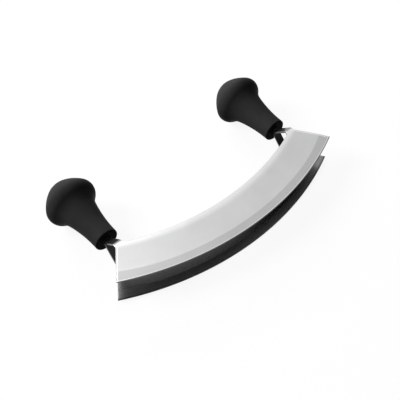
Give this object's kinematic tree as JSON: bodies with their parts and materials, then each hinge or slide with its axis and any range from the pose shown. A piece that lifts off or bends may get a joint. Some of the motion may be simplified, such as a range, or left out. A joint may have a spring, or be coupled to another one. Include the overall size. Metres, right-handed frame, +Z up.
{
  "type": "double-bladed mezzaluna",
  "caption": "Rocking herb chopper: twin curved steel blades side by side, bent in at each end into a pair of upright mushroom-shaped black plastic knobs.",
  "frame": {"origin": "middle of the footprint, on the table on which the tool lies on both knobs and its rear blade", "axes": "+X along the blades, from the left knob to the right one; +Y across the table from the cutting edges towards the knobs; +Z up, out of the front blade, which leans by the rest tilt of 4.54 degrees"},
  "size_m": [0.2206, 0.1332, 0.0436],
  "materials": {
    "blade_steel": "satin, fine polish",
    "knob_plastic": "matte black"
  },
  "bodies": {
    "root": {"front_blade": "blade_steel", "rear_blade": "blade_steel", "left_knob": "knob_plastic", "right_knob": "knob_plastic"}
  },
  "joints": []
}
